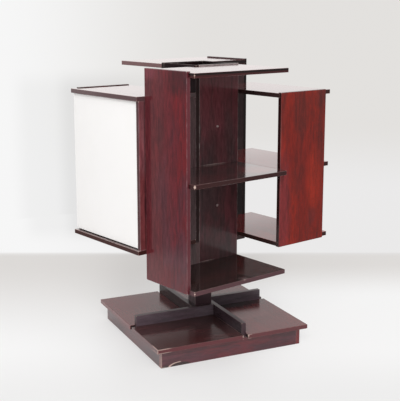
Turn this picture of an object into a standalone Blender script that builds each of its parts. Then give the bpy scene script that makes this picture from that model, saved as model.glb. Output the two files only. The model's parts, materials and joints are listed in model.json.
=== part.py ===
# Revolving bookcase: four bays of shelves stand in a pinwheel round a square core, and the tower
# that they make turns on a low square base. Two bays are high, two are low, and one low bay has a door.
# Metres, +Z up. The origin is on the turning axis at floor level; the tower's sides lie along X and Y.

import math

import bmesh
import bpy
from mathutils import Matrix, Vector

# Gap between pieces that touch, and the small flat along each wooden edge
CLEARANCE = 0.0003
ARRIS = 0.0008

# Base
BASE_TURN = math.radians(-14.4)
BASE_SIDE = 0.700
BASE_BOARD_THICKNESS = 0.018
PLINTH_HEIGHT = 0.073
PLINTH_INSET = 0.024
RAIL_THICKNESS = 0.018
RIB_THICKNESS = 0.021
RIB_HEIGHT = 0.046
RIB_SETBACK = 0.021
POST_SIDE = 0.078
BEARER_WIDTH = 0.040
BEARER_HEIGHT = 0.030
BEARER_OFFSET = 0.090
CENTRE_BOARD_SIDE = 0.300
CENTRE_BOARD_THICKNESS = 0.018

# Spindle, and the plain thrust bearing on top of the post
SPINDLE_RADIUS = 0.012
SPINDLE_PLAY = 0.0005
SPINDLE_END = 0.020
FLANGE_RADIUS = 0.028
FLANGE_THICKNESS = 0.005
STEM_RADIUS = 0.008
STEM_END = 0.004
NUT_RADIUS = 0.015
NUT_HEIGHT = 0.010
BEARING_RADIUS = 0.034
BEARING_BORE_GAP = 0.004
BEARING_PLATE_THICKNESS = 0.004
WASHER_THICKNESS = 0.006

# Core
TOWER_LIFT = 0.2537
CORE_SIDE = 0.234
CORE_PANEL_THICKNESS = 0.018
CORE_BOARD_THICKNESS = 0.018
BEARING_BOARD_RISE = 0.170
BUSH_WALL = 0.005
BUSH_OVERHANG = 0.003
CORE_BOLT_HEAD_RADIUS = 0.005
CORE_BOLT_HEAD_HEIGHT = 0.003
CORE_BOLT_RADIUS = 0.003
CORE_BOLT_BITE = 0.025
CAP_THICKNESS = 0.012
CAP_RECESS = 0.040

# Bays
BOARD_THICKNESS = 0.018
PANEL_THICKNESS = 0.018
BAY_DEPTH = 0.300
BAY_REACH = 0.252
HOUSING_DEPTH = 0.009
PANEL_RECESS = 0.035
HIGH_COMPARTMENT = 0.400
LOW_COMPARTMENT = 0.294
HIGH_TOP_LIP = 0.005
LOW_TOP_LIP = 0.003
LOW_BOTTOM_LIP = 0.002

# Cupboard in bay 4
SIDE_PANEL_RECESS = 0.010
BACK_THICKNESS = 0.009
DOOR_THICKNESS = 0.018
DOOR_FACE_THICKNESS = 0.001
DOOR_RECESS = 0.013
DOOR_END_GAP = 0.001
DOOR_SIDE_GAP = 0.003
DOOR_TOP_GAP = 0.003
DOOR_BOTTOM_GAP = 0.006
PIVOT_INSET = 0.008
PIVOT_RADIUS = 0.004
PIVOT_PLAY = 0.0004
PIVOT_IN_DOOR = 0.020
PIVOT_IN_BOARD = 0.010
PIVOT_BUSH_WALL = 0.002
STRIKE_WIDTH = 0.030
STRIKE_HEIGHT = 0.010
STRIKE_THICKNESS = 0.001
STRIKE_DROP = 0.004
STRIKE_FROM_EDGE = 0.030
CATCH_DEPTH = 0.016
CATCH_HEIGHT = 0.014

# Sides of the round pieces
ROUND_SIDES = 32
SMALL_SIDES = 16

# How far a cutter reaches past the face that it opens
OVERCUT = 0.002

# Heights, from the floor up
BASE_SEAT = PLINTH_HEIGHT + CLEARANCE
BASE_TOP = BASE_SEAT + BASE_BOARD_THICKNESS
TOWER_BOTTOM = BASE_TOP + TOWER_LIFT
MIDDLE_BOTTOM = TOWER_BOTTOM + BOARD_THICKNESS + HIGH_COMPARTMENT
MIDDLE_CENTRE = MIDDLE_BOTTOM + BOARD_THICKNESS / 2
HIGH_TOP_BOTTOM = MIDDLE_BOTTOM + BOARD_THICKNESS + HIGH_COMPARTMENT
LOW_TOP_BOTTOM = MIDDLE_BOTTOM + BOARD_THICKNESS + LOW_COMPARTMENT
LOW_BOTTOM = MIDDLE_BOTTOM - LOW_COMPARTMENT - BOARD_THICKNESS
CORE_TOP = HIGH_TOP_BOTTOM + BOARD_THICKNESS + HIGH_TOP_LIP
WASHER_TOP = TOWER_BOTTOM - CLEARANCE
BEARING_PLATE_TOP = WASHER_TOP - WASHER_THICKNESS - CLEARANCE
POST_TOP = BEARING_PLATE_TOP - BEARING_PLATE_THICKNESS - CLEARANCE
CENTRE_BOARD_BOTTOM = PLINTH_HEIGHT - CENTRE_BOARD_THICKNESS

# Places in the plan of a bay, as bay 1 has them: its front faces -Y and its end panel is at -X
CORE_HALF = CORE_SIDE / 2
CORE_INSIDE = CORE_HALF - CORE_PANEL_THICKNESS - CLEARANCE
BAY_FRONT = -CORE_HALF - BAY_DEPTH
BAY_BACK = -CORE_HALF - CLEARANCE
BOARD_END = -CORE_HALF - BAY_REACH
PANEL_INNER = BOARD_END + HOUSING_DEPTH
PANEL_OUTER = PANEL_INNER - PANEL_THICKNESS
PANEL_FRONT = BAY_FRONT + PANEL_RECESS
BEARING_BORE = SPINDLE_RADIUS + BEARING_BORE_GAP

# Boards of a high and of a low bay, each with the height of its underside
HIGH_LEVELS = {"top_board": HIGH_TOP_BOTTOM, "middle_shelf": MIDDLE_BOTTOM, "bottom_shelf": TOWER_BOTTOM}
LOW_LEVELS = {"top_board": LOW_TOP_BOTTOM, "middle_shelf": MIDDLE_BOTTOM, "bottom_shelf": LOW_BOTTOM}

# Colour, roughness and metallic value of each finish
FINISHES = {
    "rosewood": ((0.130, 0.048, 0.044), 0.30, 0.0),
    "rosewood_red": ((0.190, 0.040, 0.028), 0.30, 0.0),
    "rosewood_dark": ((0.060, 0.028, 0.026), 0.30, 0.0),
    "plain_wood": ((0.420, 0.290, 0.180), 0.60, 0.0),
    "white_laminate": ((0.900, 0.880, 0.860), 0.35, 0.0),
    "steel": ((0.550, 0.550, 0.560), 0.35, 1.0),
    "nickel": ((0.780, 0.740, 0.700), 0.30, 1.0),
    "nylon": ((0.800, 0.790, 0.740), 0.50, 0.0),
}


def start_scene():
    for item in list(bpy.data.objects):
        bpy.data.objects.remove(item, do_unlink=True)
    made = []
    for name in ("revolving_bookcase", "cutters"):
        collection = bpy.data.collections.new(name)
        bpy.context.scene.collection.children.link(collection)
        made.append(collection)
    return made


PARTS, CUTTERS = start_scene()


def add_empty(name, parent=None, location=(0, 0, 0), turn=0.0):
    empty = bpy.data.objects.new(name, None)
    empty.location = location
    empty.rotation_euler = (0, 0, turn)
    empty.parent = parent
    PARTS.objects.link(empty)
    return empty


def add_finish(name, kind):
    colour, roughness, metallic = FINISHES[kind]
    material = bpy.data.materials.new(name + "_finish")
    material.use_nodes = True
    shader = material.node_tree.nodes["Principled BSDF"]
    shader.inputs["Base Color"].default_value = (*colour, 1.0)
    shader.inputs["Roughness"].default_value = roughness
    shader.inputs["Metallic"].default_value = metallic
    return material


def add_piece(name, body, parent, kind, location=(0, 0, 0)):
    mesh = bpy.data.meshes.new(name)
    body.to_mesh(mesh)
    body.free()
    mesh.materials.append(add_finish(name, kind))
    piece = bpy.data.objects.new(name, mesh)
    piece.location = location
    piece.parent = parent
    PARTS.objects.link(piece)
    return piece


def make_box(body, low, high):
    low, high = Vector(low), Vector(high)
    place = Matrix.Translation((low + high) / 2) @ Matrix.Diagonal((*(high - low), 1.0))
    bmesh.ops.create_cube(body, size=1.0, matrix=place)


def make_rod(body, start, end, radius, sides):
    start, end = Vector(start), Vector(end)
    along = end - start
    turn = along.to_track_quat("Z", "Y").to_matrix().to_4x4()
    bmesh.ops.create_cone(
        body, cap_ends=True, segments=sides, radius1=radius, radius2=radius, depth=along.length,
        matrix=Matrix.Translation((start + end) / 2) @ turn)


# A plain block between two corners, given in its parent's frame
def add_block(name, low, high, parent, kind):
    low, high = Vector(low), Vector(high)
    centre = (low + high) / 2
    body = bmesh.new()
    make_box(body, low - centre, high - centre)
    return add_piece(name, body, parent, kind, centre)


# A wooden board or panel: a block with its edges eased
def add_board(name, low, high, parent, kind):
    board = add_block(name, low, high, parent, kind)
    bevel = board.modifiers.new("arris", "BEVEL")
    bevel.width = ARRIS
    bevel.segments = 1
    return board


def add_rod(name, start, end, radius, sides, parent, kind):
    body = bmesh.new()
    make_rod(body, start, end, radius, sides)
    return add_piece(name, body, parent, kind)


# A shape turned from (radius, height) points, which run down its outer side
def add_turned(name, outline, parent, kind, sides, closed=False):
    body = bmesh.new()
    points = [body.verts.new((radius, 0, height)) for radius, height in outline]
    pairs = list(zip(points, points[1:]))
    if closed:
        pairs.append((points[-1], points[0]))
    for pair in pairs:
        body.edges.new(pair)
    piece = add_piece(name, body, parent, kind)
    screw = piece.modifiers.new("turn", "SCREW")
    screw.steps = sides
    screw.render_steps = sides
    screw.use_merge_vertices = True
    screw.merge_threshold = 0.00001
    return piece


def add_ring(name, inner, outer, low, high, parent, kind, sides):
    outline = [(inner, high), (outer, high), (outer, low), (inner, low)]
    return add_turned(name, outline, parent, kind, sides, closed=True)


# Takes the bodies of a cutter, in the frame of the piece's parent, out of the piece
def cut(piece, body):
    name = "cut_%s_%d" % (piece.name, len(piece.modifiers))
    mesh = bpy.data.meshes.new(name)
    body.to_mesh(mesh)
    body.free()
    cutter = bpy.data.objects.new(name, mesh)
    cutter.parent = piece.parent
    cutter.hide_render = True
    cutter.display_type = "WIRE"
    CUTTERS.objects.link(cutter)
    boolean = piece.modifiers.new(name, "BOOLEAN")
    boolean.operation = "DIFFERENCE"
    boolean.solver = "EXACT"
    boolean.object = cutter


def cut_rods(piece, rods, radius, sides):
    body = bmesh.new()
    for start, end in rods:
        make_rod(body, start, end, radius, sides)
    cut(piece, body)


def cut_bore(piece, low, high, radius, x=0.0, y=0.0, sides=ROUND_SIDES):
    cut_rods(piece, [((x, y, low), (x, y, high))], radius, sides)


def quarter_turn(count):
    return math.radians(90) * count


def build_base():
    base = add_empty("base_axis", turn=BASE_TURN)
    half = BASE_SIDE / 2
    plinth_half = half - PLINTH_INSET
    rail_inner = plinth_half - RAIL_THICKNESS
    post_half = POST_SIDE / 2
    rib_inner = post_half + CLEARANCE
    rib_outer = rib_inner + RIB_THICKNESS

    # Each quarter has a rail, a top board and a rib, and butts against the next quarter
    for count, side in enumerate(("front", "right", "back", "left")):
        quarter = add_empty("base_quarter_" + side, base, turn=quarter_turn(count))
        add_board("plinth_rail_" + side, (-plinth_half, -plinth_half, 0),
                  (rail_inner - CLEARANCE, -rail_inner, PLINTH_HEIGHT), quarter, "rosewood_dark")
        add_board("base_top_board_" + side, (-half, -half, BASE_SEAT),
                  (rib_inner - CLEARANCE, -rib_outer - CLEARANCE, BASE_TOP), quarter, "rosewood")
        add_board("base_rib_" + side, (-half + RIB_SETBACK, -rib_outer, BASE_SEAT),
                  (rib_inner - CLEARANCE, -rib_inner, BASE_TOP + RIB_HEIGHT), quarter, "rosewood_dark")

    # Two bearers cross the plinth and carry the board that the post stands on
    bearer_end = rail_inner - CLEARANCE
    bearer_top = CENTRE_BOARD_BOTTOM - CLEARANCE
    for name, y in (("base_bearer_front", -BEARER_OFFSET), ("base_bearer_back", BEARER_OFFSET)):
        add_board(name, (-bearer_end, y - BEARER_WIDTH / 2, bearer_top - BEARER_HEIGHT),
                  (bearer_end, y + BEARER_WIDTH / 2, bearer_top), base, "plain_wood")
    board_half = CENTRE_BOARD_SIDE / 2
    centre_board = add_board("base_centre_board", (-board_half, -board_half, CENTRE_BOARD_BOTTOM),
                             (board_half, board_half, PLINTH_HEIGHT), base, "plain_wood")
    cut_bore(centre_board, CENTRE_BOARD_BOTTOM - OVERCUT, PLINTH_HEIGHT + OVERCUT, STEM_RADIUS + CLEARANCE)
    post = add_board("post", (-post_half, -post_half, BASE_SEAT), (post_half, post_half, POST_TOP),
                     base, "rosewood_dark")

    # The spindle's flange is let into the foot of the post, and a nut under the centre board holds it
    flange_top = BASE_SEAT + FLANGE_THICKNESS
    nut_top = CENTRE_BOARD_BOTTOM - CLEARANCE
    nut_low = nut_top - NUT_HEIGHT
    stem_low = nut_low - STEM_END
    top = MIDDLE_CENTRE + BEARING_BOARD_RISE + CORE_BOARD_THICKNESS / 2 + SPINDLE_END
    outline = [(0, top), (SPINDLE_RADIUS, top), (SPINDLE_RADIUS, flange_top), (FLANGE_RADIUS, flange_top),
               (FLANGE_RADIUS, BASE_SEAT), (STEM_RADIUS, BASE_SEAT), (STEM_RADIUS, stem_low), (0, stem_low)]
    add_turned("spindle", outline, base, "steel", ROUND_SIDES)
    cut_bore(post, BASE_SEAT - OVERCUT, POST_TOP + OVERCUT, SPINDLE_RADIUS + SPINDLE_PLAY)
    cut_bore(post, BASE_SEAT - OVERCUT, flange_top + CLEARANCE, FLANGE_RADIUS + CLEARANCE)
    nut = add_rod("spindle_nut", (0, 0, nut_low), (0, 0, nut_top), NUT_RADIUS, 6, base, "steel")
    cut_bore(nut, nut_low - OVERCUT, nut_top + OVERCUT, STEM_RADIUS + CLEARANCE)

    add_ring("bearing_plate", BEARING_BORE, BEARING_RADIUS, BEARING_PLATE_TOP - BEARING_PLATE_THICKNESS,
             BEARING_PLATE_TOP, base, "steel", ROUND_SIDES)


# A round head on the core's face, with a thinner shank that grows out of the head's inner face
def add_core_bolt(name, side, height, tower):
    seat = side * (CORE_HALF + CLEARANCE)
    inward = Vector((0, -side, 0))
    body = bmesh.new()
    make_rod(body, (0, seat + side * CORE_BOLT_HEAD_HEIGHT, height), (0, seat, height),
             CORE_BOLT_HEAD_RADIUS, SMALL_SIDES)
    inner_face = max(body.faces, key=lambda face: face.normal.dot(inward))
    bmesh.ops.inset_individual(body, faces=[inner_face], thickness=CORE_BOLT_HEAD_RADIUS - CORE_BOLT_RADIUS)
    shank = bmesh.ops.extrude_discrete_faces(body, faces=[inner_face])
    tip = list({vertex for face in shank["faces"] for vertex in face.verts})
    length = CORE_BOLT_BITE + CORE_PANEL_THICKNESS + 2 * CLEARANCE
    bmesh.ops.translate(body, verts=tip, vec=inward * length)
    add_piece(name, body, tower, "nickel")
    return (0, seat + side * OVERCUT, height), (0, seat - side * (length + CLEARANCE), height)


def build_core(tower):
    add_ring("thrust_washer", BEARING_BORE, BEARING_RADIUS, WASHER_TOP - WASHER_THICKNESS, WASHER_TOP,
             tower, "nylon", ROUND_SIDES)
    board_top = TOWER_BOTTOM + CORE_BOARD_THICKNESS
    bottom = add_board("core_bottom_board", (-CORE_INSIDE, -CORE_INSIDE, TOWER_BOTTOM),
                       (CORE_INSIDE, CORE_INSIDE, board_top), tower, "plain_wood")
    cut_bore(bottom, TOWER_BOTTOM - OVERCUT, board_top + OVERCUT, BEARING_BORE)

    # Two bearing boards steady the core on the spindle, and the core bolts hold them
    bush_inner = SPINDLE_RADIUS + SPINDLE_PLAY
    bush_outer = bush_inner + BUSH_WALL
    bolt_holes = []
    for level, rise in (("lower", -BEARING_BOARD_RISE), ("upper", BEARING_BOARD_RISE)):
        centre = MIDDLE_CENTRE + rise
        low = centre - CORE_BOARD_THICKNESS / 2
        high = centre + CORE_BOARD_THICKNESS / 2
        board = add_board("bearing_board_" + level, (-CORE_INSIDE, -CORE_INSIDE, low),
                          (CORE_INSIDE, CORE_INSIDE, high), tower, "plain_wood")
        cut_bore(board, low - OVERCUT, high + OVERCUT, bush_outer + CLEARANCE)
        add_ring("spindle_bush_" + level, bush_inner, bush_outer, low - BUSH_OVERHANG, high + BUSH_OVERHANG,
                 tower, "nylon", ROUND_SIDES)
        front = add_core_bolt("core_bolt_front_" + level, -1, centre, tower)
        back = add_core_bolt("core_bolt_back_" + level, 1, centre, tower)
        cut_rods(board, [front, back], CORE_BOLT_RADIUS + CLEARANCE, SMALL_SIDES)
        bolt_holes.append(front)

    cap_top = CORE_TOP - CAP_RECESS
    add_board("core_cap", (-CORE_INSIDE, -CORE_INSIDE, cap_top - CAP_THICKNESS),
              (CORE_INSIDE, CORE_INSIDE, cap_top), tower, "rosewood_dark")
    return bolt_holes


def build_core_panel(number, bay, bolt_holes):
    low = (-CORE_HALF + CORE_PANEL_THICKNESS + CLEARANCE, -CORE_HALF, TOWER_BOTTOM)
    high = (CORE_HALF, -CORE_HALF + CORE_PANEL_THICKNESS, CORE_TOP)
    panel = add_board("core_panel_%d" % number, low, high, bay, "rosewood_dark")
    if bolt_holes:
        cut_rods(panel, bolt_holes, CORE_BOLT_RADIUS + CLEARANCE, SMALL_SIDES)


# The end panel has a housing for the end of each board
def build_end_panel(number, bay, levels, top_lip, bottom_lip, kind):
    low = (PANEL_OUTER, PANEL_FRONT, levels["bottom_shelf"] - bottom_lip)
    high = (PANEL_INNER, BAY_BACK, levels["top_board"] + BOARD_THICKNESS + top_lip)
    panel = add_board("bay%d_end_panel" % number, low, high, bay, kind)
    housings = bmesh.new()
    for underside in levels.values():
        make_box(housings, (BOARD_END - CLEARANCE, PANEL_FRONT - OVERCUT, underside - CLEARANCE),
                 (PANEL_INNER + OVERCUT, BAY_BACK + OVERCUT, underside + BOARD_THICKNESS + CLEARANCE))
    cut(panel, housings)


def build_bay(number, tower, levels, top_lip, bottom_lip, kind, closed=False, bolt_holes=None):
    bay = add_empty("bay_%d" % number, tower, turn=quarter_turn(number - 1))
    boards = {}
    for name, underside in levels.items():
        low = Vector((BOARD_END, BAY_FRONT, underside))
        high = Vector((CORE_HALF, BAY_BACK, underside + BOARD_THICKNESS))
        # Behind a door, the shelf stops short of the door, the side panel and the back panel
        if closed and name == "middle_shelf":
            low.y = PANEL_FRONT
            high.x = CORE_HALF - PANEL_THICKNESS - CLEARANCE
            high.y = BAY_BACK - BACK_THICKNESS - CLEARANCE
        boards[name] = add_board("bay%d_%s" % (number, name), low, high, bay, "rosewood_dark")
    build_end_panel(number, bay, levels, top_lip, bottom_lip, kind)
    build_core_panel(number, bay, bolt_holes)
    return bay, boards


def build_cupboard(bay, boards):
    floor = LOW_BOTTOM + BOARD_THICKNESS
    ceiling = LOW_TOP_BOTTOM
    side_inner = CORE_HALF - PANEL_THICKNESS
    add_board("bay4_side_panel", (side_inner, BAY_FRONT + SIDE_PANEL_RECESS, floor + CLEARANCE),
              (CORE_HALF, BAY_BACK, ceiling - CLEARANCE), bay, "rosewood_red")
    add_board("bay4_back_panel", (PANEL_INNER + CLEARANCE, BAY_BACK - BACK_THICKNESS, floor + CLEARANCE),
              (side_inner - CLEARANCE, BAY_BACK, ceiling - CLEARANCE), bay, "rosewood_dark")

    # The door hangs on a pin at the top and one at the bottom, near the end panel
    door_end = BOARD_END + DOOR_END_GAP
    door_width = side_inner - DOOR_SIDE_GAP - door_end
    door_low = floor + DOOR_BOTTOM_GAP
    door_high = ceiling - DOOR_TOP_GAP
    half = DOOR_THICKNESS / 2
    x = door_end + PIVOT_INSET
    y = BAY_FRONT + DOOR_RECESS + half
    hinge = add_empty("door_axis", bay, (x, y, 0))
    left = -PIVOT_INSET
    right = door_width - PIVOT_INSET
    face_back = -half + DOOR_FACE_THICKNESS
    panel = add_board("door_panel", (left, face_back + CLEARANCE, door_low), (right, half, door_high),
                      hinge, "rosewood_dark")
    add_block("door_face", (left, -half, door_low), (right, face_back, door_high), hinge, "white_laminate")

    # Each pin is set in the door and turns in a bush that is let into its board
    bush_inner = PIVOT_RADIUS + PIVOT_PLAY
    bush_outer = bush_inner + PIVOT_BUSH_WALL
    pivots = [("bottom", "bottom_shelf", floor, door_low, 1), ("top", "top_board", ceiling, door_high, -1)]
    for name, board, board_face, door_edge, into_door in pivots:
        inner = door_edge + into_door * PIVOT_IN_DOOR
        tip = board_face - into_door * (PIVOT_IN_BOARD - CLEARANCE)
        add_rod("door_pivot_" + name, (0, 0, inner), (0, 0, tip), PIVOT_RADIUS, SMALL_SIDES, hinge, "steel")
        cut_bore(panel, door_edge - into_door * OVERCUT, inner + into_door * CLEARANCE,
                 PIVOT_RADIUS + CLEARANCE, sides=SMALL_SIDES)
        bush_end = board_face - into_door * PIVOT_IN_BOARD
        cut_bore(boards[board], board_face + into_door * OVERCUT, bush_end - into_door * CLEARANCE,
                 bush_outer + CLEARANCE, x, y, SMALL_SIDES)
        bush = add_ring("door_bush_" + name, bush_inner, bush_outer, min(board_face, bush_end),
                        max(board_face, bush_end), bay, "nylon", SMALL_SIDES)
        bush.location = (x, y, 0)

    # A touch catch under the top board meets a strike plate on the door's back
    strike_right = right - STRIKE_FROM_EDGE
    strike_left = strike_right - STRIKE_WIDTH
    strike_front = half + CLEARANCE
    strike_back = strike_front + STRIKE_THICKNESS
    strike_top = door_high - STRIKE_DROP
    add_block("door_strike_plate", (strike_left, strike_front, strike_top - STRIKE_HEIGHT),
              (strike_right, strike_back, strike_top), hinge, "steel")
    catch_front = y + strike_back + CLEARANCE
    catch_top = ceiling - CLEARANCE
    add_block("door_catch", (x + strike_left, catch_front, catch_top - CATCH_HEIGHT),
              (x + strike_right, catch_front + CATCH_DEPTH, catch_top), bay, "nylon")


def build_tower():
    tower = add_empty("tower_axis")
    bolt_holes = build_core(tower)
    high = (HIGH_LEVELS, HIGH_TOP_LIP, 0.0)
    low = (LOW_LEVELS, LOW_TOP_LIP, LOW_BOTTOM_LIP)
    build_bay(1, tower, *high, "rosewood", bolt_holes=bolt_holes)
    build_bay(2, tower, *low, "rosewood_red")
    build_bay(3, tower, *high, "rosewood", bolt_holes=bolt_holes)
    bay, boards = build_bay(4, tower, *low, "rosewood_red", closed=True)
    build_cupboard(bay, boards)


build_base()
build_tower()
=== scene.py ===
import json
import math

import bpy
from mathutils import Matrix, Vector


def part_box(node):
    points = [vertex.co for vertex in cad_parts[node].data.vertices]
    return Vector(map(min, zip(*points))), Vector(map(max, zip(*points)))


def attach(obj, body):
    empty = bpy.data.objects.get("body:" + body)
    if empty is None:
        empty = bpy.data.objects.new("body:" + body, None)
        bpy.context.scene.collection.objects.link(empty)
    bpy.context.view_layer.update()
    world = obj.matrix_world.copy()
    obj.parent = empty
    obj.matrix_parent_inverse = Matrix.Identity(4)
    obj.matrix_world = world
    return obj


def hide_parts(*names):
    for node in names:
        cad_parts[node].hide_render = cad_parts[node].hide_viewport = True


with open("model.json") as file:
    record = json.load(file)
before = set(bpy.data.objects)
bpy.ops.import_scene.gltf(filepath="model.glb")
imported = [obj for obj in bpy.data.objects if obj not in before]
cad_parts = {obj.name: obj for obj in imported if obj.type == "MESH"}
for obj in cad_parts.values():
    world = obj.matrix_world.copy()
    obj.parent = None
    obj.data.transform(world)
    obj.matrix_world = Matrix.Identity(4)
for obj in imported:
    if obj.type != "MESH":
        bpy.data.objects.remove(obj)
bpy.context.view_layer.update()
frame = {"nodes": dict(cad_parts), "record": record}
nodes = frame["nodes"]


class Wire:  # a socket that takes part in sums
    def __init__(self, maker, socket):
        self.maker = maker
        self.socket = socket

    def calc(self, operation, *values):
        return self.maker.node("ShaderNodeMath", {"operation": operation}, dict(enumerate(values)))[0]

    def __add__(self, other):
        return self.calc("ADD", self, other)

    def __radd__(self, other):
        return self.calc("ADD", other, self)

    def __sub__(self, other):
        return self.calc("SUBTRACT", self, other)

    def __rsub__(self, other):
        return self.calc("SUBTRACT", other, self)

    def __mul__(self, other):
        return self.calc("MULTIPLY", self, other)

    def __rmul__(self, other):
        return self.calc("MULTIPLY", other, self)

    def __truediv__(self, other):
        return self.calc("DIVIDE", self, other)

    def __rtruediv__(self, other):
        return self.calc("DIVIDE", other, self)

    def __abs__(self):
        return self.calc("ABSOLUTE", self)

    def least(self, other):
        return self.calc("MINIMUM", self, other)

    def most(self, other):
        return self.calc("MAXIMUM", self, other)

    def power(self, other):
        return self.calc("POWER", self, other)

    def rise(self, low, high):  # 0 at low, 1 at high, smooth between; low may be the larger
        return self.maker.node("ShaderNodeMapRange", {"interpolation_type": "SMOOTHSTEP"},
                               {"Value": self, "From Min": low, "From Max": high})[0]


class Outs:  # the outputs of one node, by name or number
    def __init__(self, maker, made):
        self.maker = maker
        self.made = made

    def __getitem__(self, key):
        return Wire(self.maker, self.made.outputs[key])


class Maker:  # adds nodes to one tree
    def __init__(self, tree):
        self.tree = tree

    def node(self, kind, settings=None, inputs=None):
        made = self.tree.nodes.new(kind)
        for key, value in (settings or {}).items():
            setattr(made, key, value)
        for key, value in (inputs or {}).items():
            socket = made.inputs[key]
            if isinstance(value, Wire):
                self.tree.links.new(value.socket, socket)
            elif socket.type == "RGBA" and len(value) == 3:
                socket.default_value = (*value, 1.0)
            else:
                socket.default_value = value
        return Outs(self, made)

    def blend(self, share, first, second):  # colour first where share is 0, second where it is 1
        return self.node("ShaderNodeMix", {"data_type": "RGBA"}, {0: share, 6: first, 7: second})[2]

    def tint(self, colour, strength):  # colour times a plain value
        grey = self.node("ShaderNodeCombineColor", None, {0: strength, 1: strength, 2: strength})[0]
        return self.node("ShaderNodeMix", {"data_type": "RGBA", "blend_type": "MULTIPLY"},
                         {0: 1.0, 6: colour, 7: grey})[2]

    def vector(self, operation, *values):  # a length or a distance is the output called Value
        return self.node("ShaderNodeVectorMath", {"operation": operation}, dict(enumerate(values)))

    def split(self, vector):
        parts = self.node("ShaderNodeSeparateXYZ", None, {0: vector})
        return [parts[0], parts[1], parts[2]]

    def join(self, x, y, z):
        return self.node("ShaderNodeCombineXYZ", None, {0: x, 1: y, 2: z})[0]

    def noise(self, vector, scale=1.0, detail=2.0, roughness=0.5, distortion=0.0):
        return self.node("ShaderNodeTexNoise", None, {"Vector": vector, "Scale": scale, "Detail": detail,
                                                      "Roughness": roughness, "Distortion": distortion})[0]

    def bump(self, height, strength, distance):
        return self.node("ShaderNodeBump", None,
                         {"Height": height, "Strength": strength, "Distance": distance})[0]


def startFinish(name):
    material = bpy.data.materials.new(name)
    material.use_nodes = True
    material.node_tree.nodes.clear()
    return material, Maker(material.node_tree)


def endFinish(maker, sockets):
    shader = maker.node("ShaderNodeBsdfPrincipled", None, sockets)
    maker.node("ShaderNodeOutputMaterial", None, {"Surface": shader[0]})


def dress(piece, material):
    for holder in piece.material_slots:
        holder.material = material


# The base stands turned under the tower, so its pieces are square in a frame turned with it
baseTurn = math.radians(14.4)
baseNodes = set(frame["record"]["behaviour"]["bodies"]["base"])


def squareBox(name):
    turn = Matrix.Rotation(baseTurn if name in baseNodes else 0.0, 3, "Z")
    points = [turn @ vertex.co for vertex in nodes[name].data.vertices]
    low = Vector(min(point[axis] for point in points) for axis in range(3))
    high = Vector(max(point[axis] for point in points) for axis in range(3))
    return low, high


# Camera, at the photograph's viewing angle
cameraView = {
    "place": (-2.4265, -2.9448, 1.4328),                 # metres
    "yaw": 39.5, "pitch": -11.08,                        # degrees
    "focal": 887.7, "axisRow": 182.0, "imageHigh": 401,  # pixels
}


def makeCamera():
    imageHigh = cameraView["imageHigh"]
    data = bpy.data.cameras.new("photoCamera")
    data.lens = cameraView["focal"] * data.sensor_width / imageHigh
    data.shift_y = (cameraView["axisRow"] - imageHigh / 2) / imageHigh
    camera = bpy.data.objects.new("photoCamera", data)
    yaw, pitch = math.radians(cameraView["yaw"]), math.radians(cameraView["pitch"])
    ahead = Vector((math.sin(yaw) * math.cos(pitch), math.cos(yaw) * math.cos(pitch), math.sin(pitch)))
    camera.location = cameraView["place"]
    camera.rotation_euler = ahead.to_track_quat("-Z", "Y").to_euler()
    bpy.context.scene.collection.objects.link(camera)
    bpy.context.scene.camera = camera


makeCamera()
print("camera placed")

# Rosewood veneer: streaks that run along the grain, clouded figure, fine lines and pores
veneer = {
    "wander": 0.032, "ripple": 0.009,   # how far the streaks wander sideways, metres
    # Each layer: noise across one metre, its share along the grain, detail, roughness, distortion
    "slow": (5.0, 0.30, 2.0),           # the broad wandering
    "quick": (24.0, 0.80, 1.0),         # the small wandering
    "bands": (15.0, 0.10, 2.0, 0.55),
    "clouds": (9.0, 0.32, 3.0, 0.60, 0.4),
    "flames": (75.0, 0.25, 3.0, 0.60, 0.5),
    "streaks": (105.0, 0.050, 3.0, 0.65),
    "clumps": (13.0, 0.22, 1.0),        # where the streaks crowd
    "fine": (430.0, 0.030, 2.0, 0.60),
    "pores": (1200.0, 0.045, 1.0),
    # Where a layer begins and is full, and how strong it is
    "bandRise": (0.38, 0.62),
    "cloudRise": (0.44, 0.62), "cloudShare": 0.90,
    "flameRise": (0.30, 0.70), "flameShare": 0.60,
    "streakRise": (0.46, 0.68), "clumpRise": (0.36, 0.62), "clumpShare": 0.60, "clumpLeast": 0.30,
    "fineLeast": 0.76, "fineShare": 0.48,
    "poreRise": (0.62, 0.72), "poreShare": 0.40,
    # Ragged outline of the patches of another colour
    "patchRise": (1.0, 0.3), "patchClouds": 0.9, "patchFlames": 0.6,
    # Narrow edges: where they begin below the broad faces, and how bands and fine lines show on them
    "edgeRise": (0.0005, 0.0010), "edgeLeast": 0.62, "edgeBands": 0.30, "edgeFine": 0.46,
    "lowEdgeRise": (0.56, 0.42),        # shares of the thickness between which the lower half begins
    "slotBeside": (0.0640, 0.0615),     # how near to the base's middle lines the edges of its slots are
    "slotInside": (0.3495, 0.3470),     # inside the base's outer edges, which keep their own colour
    # Lacquer: how the figure, the painted highlights and the pale marks show in its roughness and relief
    "glossBands": 0.05, "glossFine": 0.04, "glossArris": 0.10, "glossWorn": 0.30,
    "reliefPores": 0.5, "relief": (0.04, 0.0004),
}
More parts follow.
